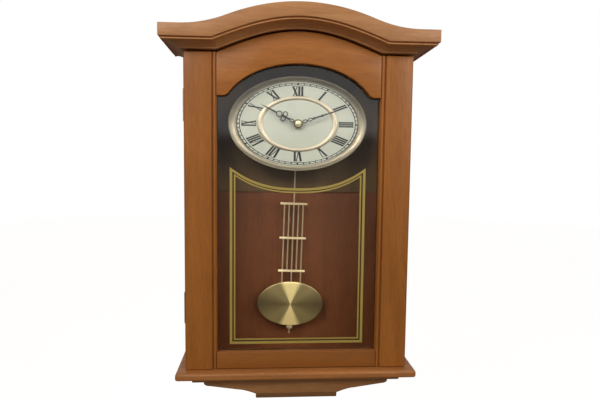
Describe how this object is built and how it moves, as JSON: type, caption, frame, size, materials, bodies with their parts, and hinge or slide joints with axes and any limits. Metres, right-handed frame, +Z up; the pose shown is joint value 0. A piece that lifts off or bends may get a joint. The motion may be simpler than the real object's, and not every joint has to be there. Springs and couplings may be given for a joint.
{
  "type": "pendulum wall clock",
  "caption": "Arched wooden wall clock with a hinged glazed door, oval dial, openwork hands and a gridiron pendulum driven by a quartz movement",
  "frame": {"origin": "centre of the keyhole's head hole in the hanger plate, on the wall's surface", "axes": "X to the right as the clock is seen, Y into the wall, Z up"},
  "size_m": [0.4126, 0.123, 0.6073],
  "materials": {
    "case_wood": "satin lacquer over orange-brown stained wood",
    "crown_wood": "satin lacquer over orange-brown stained wood",
    "door_wood": "satin lacquer over orange-brown stained wood",
    "back_panel": "satin red-brown stained board",
    "dark_panel": "satin charcoal-stained board",
    "steel": "zinc-plated steel",
    "brass_hardware": "brass-plated steel",
    "rubber": "black rubber",
    "catch_plastic": "brown moulded plastic",
    "glass": "clear float glass",
    "gold_print": "gold screen print",
    "dial_paper": "matt off-white enamel with printed numerals",
    "bezel_metal": "satin champagne-gold anodised",
    "ring_gilt": "satin pale gilt",
    "movement_plastic": "black moulded plastic",
    "copper": "enamelled copper wire",
    "board_green": "green circuit laminate",
    "battery_sleeve": "plain printed sleeve",
    "gear_brass": "cut brass",
    "knob_plastic": "white moulded plastic",
    "hand_black": "black enamel",
    "cap_brass": "polished brass",
    "pendulum_brass": "satin lacquered brass",
    "bob_brass": "radially brushed lacquered brass",
    "magnet": "sintered magnet"
  },
  "bodies": {
    "case": {"side_left": "case_wood", "side_right": "case_wood", "case_top": "case_wood", "back_battens": "case_wood", "back_board": "back_panel", "dial_backing": "dark_panel", "base_shelf": "case_wood", "base_moulding": "case_wood", "apron": "case_wood", "apron_foot": "case_wood", "apron_returns": "case_wood", "crown_fascia": "crown_wood", "crown_cove": "crown_wood", "crown_backer": "crown_wood", "crown_return_left": "crown_wood", "crown_return_right": "crown_wood", "back_screws": "steel", "hanger_plate": "brass_hardware", "hanger_screws": "steel", "wall_bumpers": "rubber", "magnetic_catch": "catch_plastic", "hinge_leaves_case": "brass_hardware", "hinge_pins": "brass_hardware", "dial_plate": "dial_paper", "dial_bezel": "bezel_metal", "dial_ring": "ring_gilt", "dial_posts": "steel", "movement_case": "movement_plastic", "movement_cover": "movement_plastic", "fixing_nut": "brass_hardware", "drive_coil": "copper", "circuit_board": "board_green", "battery": "battery_sleeve", "battery_contacts": "steel", "pendulum_bracket": "steel"},
    "front_door": {"stile_left": "door_wood", "stile_right": "door_wood", "top_rail": "door_wood", "bottom_rail": "door_wood", "glass_pane": "glass", "gold_lines": "gold_print", "glass_retainers": "door_wood", "hinge_leaves_door": "brass_hardware", "catch_strike": "steel"},
    "minute_work": {"minute_hand": "hand_black", "minute_arbor": "gear_brass", "hand_cap": "cap_brass"},
    "hour_work": {"hour_hand": "hand_black", "hour_wheel": "gear_brass"},
    "reduction_work": {"reduction_wheel": "gear_brass"},
    "third_work": {"third_wheel": "gear_brass"},
    "setting_work": {"setting_knob": "knob_plastic"},
    "pendulum": {"pendulum_hook": "pendulum_brass", "pendulum_rods": "pendulum_brass", "pendulum_bars": "pendulum_brass", "pendulum_magnet": "magnet"},
    "bob": {"pendulum_bob": "bob_brass"},
    "nut": {"rating_nut": "pendulum_brass"}
  },
  "joints": [
    {"name": "door_hinge", "type": "hinge", "parent": "case", "child": "front_door", "pos_m": [-0.1776, -0.0715, -0.24], "axis": [0, 0, -1], "range_deg": [0, 105]},
    {"name": "minute_turn", "type": "hinge", "parent": "case", "child": "minute_work", "pos_m": [0, -0.065, -0.0816], "axis": [0, 1, 0], "continuous": true},
    {"name": "hour_turn", "type": "hinge", "parent": "case", "child": "hour_work", "pos_m": [0, -0.062, -0.0816], "axis": [0, 1, 0], "continuous": true},
    {"name": "reduction_turn", "type": "hinge", "parent": "case", "child": "reduction_work", "pos_m": [-0.012, -0.05, -0.0816], "axis": [0, 1, 0], "continuous": true},
    {"name": "third_turn", "type": "hinge", "parent": "case", "child": "third_work", "pos_m": [0.00912, -0.046, -0.07395], "axis": [0, 1, 0], "continuous": true},
    {"name": "setting_turn", "type": "hinge", "parent": "case", "child": "setting_work", "pos_m": [-0.0161, -0.034, -0.09288], "axis": [0, 1, 0], "continuous": true},
    {"name": "pendulum_swing", "type": "hinge", "parent": "case", "child": "pendulum", "pos_m": [0, -0.025, -0.1111], "axis": [0, 1, 0], "range_deg": [-6.12, 2.88]},
    {"name": "bob_slide", "type": "slide", "parent": "pendulum", "child": "bob", "axis": [0.0283, 0, 0.9996], "range_m": [-0.003, 0.003]},
    {"name": "rating_turn", "type": "hinge", "parent": "bob", "child": "nut", "pos_m": [-0.00884, -0.025, -0.42347], "axis": [0.0283, 0, 0.9996], "range_deg": [-1350, 1350]}
  ],
  "couplings": [
    {"joint": "hour_turn", "follows": "minute_turn", "ratio": 0.083333},
    {"joint": "reduction_turn", "follows": "minute_turn", "ratio": -0.33333},
    {"joint": "third_turn", "follows": "minute_turn", "ratio": -6},
    {"joint": "setting_turn", "follows": "minute_turn", "ratio": 1},
    {"joint": "rating_turn", "follows": "bob_slide", "rad_per_m": 7854}
  ]
}
